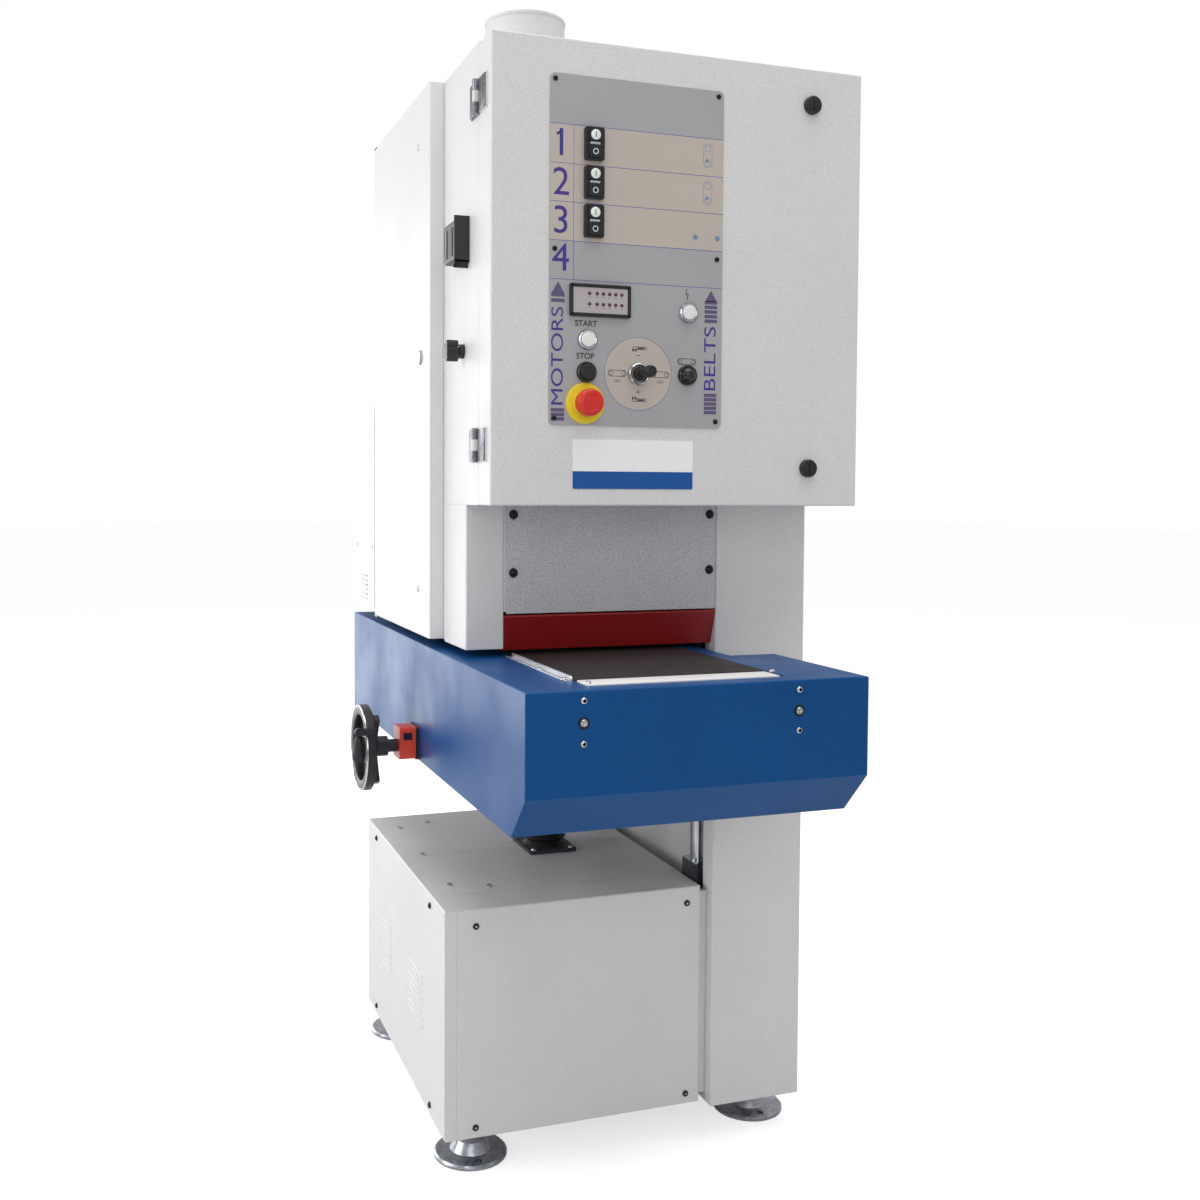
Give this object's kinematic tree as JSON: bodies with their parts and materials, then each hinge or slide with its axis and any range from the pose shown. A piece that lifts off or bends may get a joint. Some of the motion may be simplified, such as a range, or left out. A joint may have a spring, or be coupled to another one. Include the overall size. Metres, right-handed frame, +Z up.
{
  "type": "drum sander",
  "caption": "Floor-standing drum sander with abrasive belts over drums, a powered conveyor table that rises and falls, and a hinged control door.",
  "frame": {"origin": "on the floor, midway between the four levelling feet", "axes": "+Z up, +Y the feed direction from the infeed at the front, +X towards the column on the right"},
  "size_m": [0.753, 1.1369, 1.825],
  "materials": {
    "abrasive": "matte",
    "bellows_rubber": "matte",
    "belt_rubber": "matte",
    "black_plastic": "satin",
    "blue_paint": "satin",
    "cast_iron": "matte",
    "chrome": "polished",
    "panel_print": "satin",
    "powder_coat": "satin",
    "red_paint": "satin",
    "red_plastic": "gloss",
    "roller_rubber": "matte",
    "steel": "satin",
    "white_plastic": "gloss",
    "zinc": "satin"
  },
  "bodies": {
    "frame": {"abrasive_belts": "abrasive", "base_front_panel": "powder_coat", "base_shell": "powder_coat", "base_side_panel": "powder_coat", "base_top_plates": "powder_coat", "column": "powder_coat", "drum_plate": "steel", "dust_spigot": "powder_coat", "entry_panel": "powder_coat", "frame_screws": "zinc", "guide_rods": "chrome", "head_shell": "powder_coat", "head_top_panel": "powder_coat", "hinge_fixed": "zinc", "interlock_switch": "black_plastic", "left_frame": "powder_coat", "levelling_feet": "zinc", "lift_bellows": "bellows_rubber", "lift_nut": "cast_iron", "motor_box": "powder_coat", "sanding_motors": "cast_iron"},
    "table": {"table_cover": "blue_paint", "table_frame": "steel", "conveyor_belt": "belt_rubber", "position_indicator": "red_plastic"},
    "handwheel": {"handwheel": "black_plastic"},
    "wheel_grip": {"wheel_grip": "black_plastic"},
    "lift_screw": {"lift_screw": "steel"},
    "drum_front": {"drum_front": "roller_rubber"},
    "drum_rear": {"drum_rear": "roller_rubber"},
    "tension_yoke_front": {"tension_yoke_front": "steel"},
    "tension_roller_front": {"tension_roller_front": "steel"},
    "motor_pulley_front": {"motor_pulley_front": "cast_iron"},
    "tension_yoke_rear": {"tension_yoke_rear": "steel"},
    "tension_roller_rear": {"tension_roller_rear": "steel"},
    "motor_pulley_rear": {"motor_pulley_rear": "cast_iron"},
    "drive_roller": {"drive_roller": "roller_rubber"},
    "idle_roller": {"idle_roller": "steel"},
    "entry_guard": {"entry_guard": "red_paint"},
    "side_door": {"side_door": "powder_coat"},
    "side_door_lock": {"side_door_lock": "zinc"},
    "valve_knob": {"valve_knob": "black_plastic"},
    "front_door": {"front_door": "powder_coat", "control_panel": "panel_print", "panel_fittings": "black_plastic"},
    "on_key_1": {"on_key_1": "white_plastic"},
    "off_key_1": {"off_key_1": "black_plastic"},
    "on_key_2": {"on_key_2": "white_plastic"},
    "off_key_2": {"off_key_2": "black_plastic"},
    "on_key_3": {"on_key_3": "white_plastic"},
    "off_key_3": {"off_key_3": "black_plastic"},
    "start_button": {"start_button": "white_plastic"},
    "stop_button": {"stop_button": "black_plastic"},
    "power_button": {"power_button": "white_plastic"},
    "reset_button": {"reset_button": "black_plastic"},
    "emergency_stop": {"emergency_stop": "red_plastic"},
    "stick_pivot": {"stick_pivot": "chrome"},
    "joystick": {"joystick": "black_plastic"},
    "door_lock_upper": {"door_lock_upper": "black_plastic"},
    "door_lock_lower": {"door_lock_lower": "black_plastic"}
  },
  "joints": [
    {"name": "table_lift", "type": "slide", "parent": "frame", "child": "table", "axis": [0, 0, 1], "range_m": [-0.16, 0.005], "deforming": ["lift_bellows"]},
    {"name": "handwheel_spin", "type": "hinge", "parent": "table", "child": "handwheel", "pos_m": [-0.383, -0.101, 0.652], "axis": [1, 0, 0], "range_deg": [-11526.4, 360.2]},
    {"name": "screw_spin", "type": "hinge", "parent": "table", "child": "lift_screw", "pos_m": [-0.047, -0.019, 0.652], "axis": [0, 0, 1], "range_deg": [-5763.2, 180.1]},
    {"name": "grip_fold", "type": "hinge", "parent": "handwheel", "child": "wheel_grip", "pos_m": [-0.424, -0.1645, 0.69], "axis": [0, 1, 0], "range_deg": [0, 90]},
    {"name": "drum_front_spin", "type": "hinge", "parent": "frame", "child": "drum_front", "pos_m": [-0.066, -0.15, 0.9163], "axis": [1, 0, 0], "continuous": true},
    {"name": "motor_front_spin", "type": "hinge", "parent": "frame", "child": "motor_pulley_front", "pos_m": [0.084, 0.3296, 1.1503], "axis": [1, 0, 0], "continuous": true},
    {"name": "tension_front", "type": "slide", "parent": "frame", "child": "tension_yoke_front", "axis": [0, 0, 1], "range_m": [-0.02, 0]},
    {"name": "tension_roller_front_spin", "type": "hinge", "parent": "tension_yoke_front", "child": "tension_roller_front", "pos_m": [-0.066, -0.15, 1.54], "axis": [1, 0, 0], "continuous": true},
    {"name": "drum_rear_spin", "type": "hinge", "parent": "frame", "child": "drum_rear", "pos_m": [-0.066, 0.08, 0.9163], "axis": [1, 0, 0], "continuous": true},
    {"name": "motor_rear_spin", "type": "hinge", "parent": "frame", "child": "motor_pulley_rear", "pos_m": [0.084, 0.3296, 0.9603], "axis": [1, 0, 0], "continuous": true},
    {"name": "tension_rear", "type": "slide", "parent": "frame", "child": "tension_yoke_rear", "axis": [0, 0, 1], "range_m": [-0.02, 0]},
    {"name": "tension_roller_rear_spin", "type": "hinge", "parent": "tension_yoke_rear", "child": "tension_roller_rear", "pos_m": [-0.066, 0.08, 1.54], "axis": [1, 0, 0], "continuous": true},
    {"name": "conveyor_drive", "type": "hinge", "parent": "table", "child": "drive_roller", "pos_m": [-0.066, 0.385, 0.7877], "axis": [1, 0, 0], "continuous": true},
    {"name": "conveyor_idle", "type": "hinge", "parent": "table", "child": "idle_roller", "pos_m": [-0.066, -0.59, 0.7877], "axis": [1, 0, 0], "continuous": true},
    {"name": "guard_swing", "type": "hinge", "parent": "frame", "child": "entry_guard", "pos_m": [-0.066, -0.3381, 0.892], "axis": [1, 0, 0], "range_deg": [0, 25]},
    {"name": "side_door_swing", "type": "hinge", "parent": "frame", "child": "side_door", "pos_m": [-0.309, 0.215, 1.3], "axis": [0, 0, 1], "range_deg": [-110, 0]},
    {"name": "side_lock_turn", "type": "hinge", "parent": "side_door", "child": "side_door_lock", "pos_m": [-0.3158, -0.1477, 1.311], "axis": [1, 0, 0], "range_deg": [0, 90]},
    {"name": "front_door_swing", "type": "hinge", "parent": "frame", "child": "front_door", "pos_m": [-0.298, -0.4085, 1.4], "axis": [0, 0, 1], "range_deg": [-110, 0]},
    {"name": "door_lock_lower_turn", "type": "hinge", "parent": "front_door", "child": "door_lock_lower", "pos_m": [0.2285, -0.467, 1.1258], "axis": [0, -1, 0], "range_deg": [0, 90]},
    {"name": "door_lock_upper_turn", "type": "hinge", "parent": "front_door", "child": "door_lock_upper", "pos_m": [0.2285, -0.467, 1.6876], "axis": [0, -1, 0], "range_deg": [0, 90]},
    {"name": "valve_turn", "type": "hinge", "parent": "frame", "child": "valve_knob", "pos_m": [-0.312, -0.3245, 1.303], "axis": [1, 0, 0], "range_deg": [0, 90]},
    {"name": "on_key_1_press", "type": "slide", "parent": "front_door", "child": "on_key_1", "axis": [0, 1, 0], "range_m": [0, 0.0025], "stiffness_N_per_m": 400},
    {"name": "off_key_1_press", "type": "slide", "parent": "front_door", "child": "off_key_1", "axis": [0, 1, 0], "range_m": [0, 0.0025], "stiffness_N_per_m": 400},
    {"name": "on_key_2_press", "type": "slide", "parent": "front_door", "child": "on_key_2", "axis": [0, 1, 0], "range_m": [0, 0.0025], "stiffness_N_per_m": 400},
    {"name": "off_key_2_press", "type": "slide", "parent": "front_door", "child": "off_key_2", "axis": [0, 1, 0], "range_m": [0, 0.0025], "stiffness_N_per_m": 400},
    {"name": "on_key_3_press", "type": "slide", "parent": "front_door", "child": "on_key_3", "axis": [0, 1, 0], "range_m": [0, 0.0025], "stiffness_N_per_m": 400},
    {"name": "off_key_3_press", "type": "slide", "parent": "front_door", "child": "off_key_3", "axis": [0, 1, 0], "range_m": [0, 0.0025], "stiffness_N_per_m": 400},
    {"name": "start_button_press", "type": "slide", "parent": "front_door", "child": "start_button", "axis": [0, 1, 0], "range_m": [0, 0.0025], "stiffness_N_per_m": 400},
    {"name": "stop_button_press", "type": "slide", "parent": "front_door", "child": "stop_button", "axis": [0, 1, 0], "range_m": [0, 0.0025], "stiffness_N_per_m": 400},
    {"name": "power_button_press", "type": "slide", "parent": "front_door", "child": "power_button", "axis": [0, 1, 0], "range_m": [0, 0.0025], "stiffness_N_per_m": 400},
    {"name": "reset_button_press", "type": "slide", "parent": "front_door", "child": "reset_button", "axis": [0, 1, 0], "range_m": [0, 0.0025], "stiffness_N_per_m": 400},
    {"name": "emergency_stop_press", "type": "slide", "parent": "front_door", "child": "emergency_stop", "axis": [0, 1, 0], "range_m": [0, 0.006]},
    {"name": "stick_up_down", "type": "hinge", "parent": "front_door", "child": "stick_pivot", "pos_m": [-0.0622, -0.463, 1.2635], "axis": [1, 0, 0], "range_deg": [-14, 14], "stiffness_Nm_per_rad": 0.05},
    {"name": "stick_left_right", "type": "hinge", "parent": "stick_pivot", "child": "joystick", "pos_m": [-0.0622, -0.463, 1.2635], "axis": [0, 0, 1], "range_deg": [-14, 14], "stiffness_Nm_per_rad": 0.05}
  ],
  "couplings": [
    {"joint": "handwheel_spin", "follows": "table_lift", "rad_per_m": 1256.6},
    {"joint": "screw_spin", "follows": "table_lift", "rad_per_m": 628.32},
    {"joint": "motor_front_spin", "follows": "drum_front_spin", "ratio": 1},
    {"joint": "tension_roller_front_spin", "follows": "drum_front_spin", "ratio": 1.7353},
    {"joint": "motor_rear_spin", "follows": "drum_rear_spin", "ratio": 1},
    {"joint": "tension_roller_rear_spin", "follows": "drum_rear_spin", "ratio": 1.7353},
    {"joint": "conveyor_idle", "follows": "conveyor_drive", "ratio": 1}
  ]
}
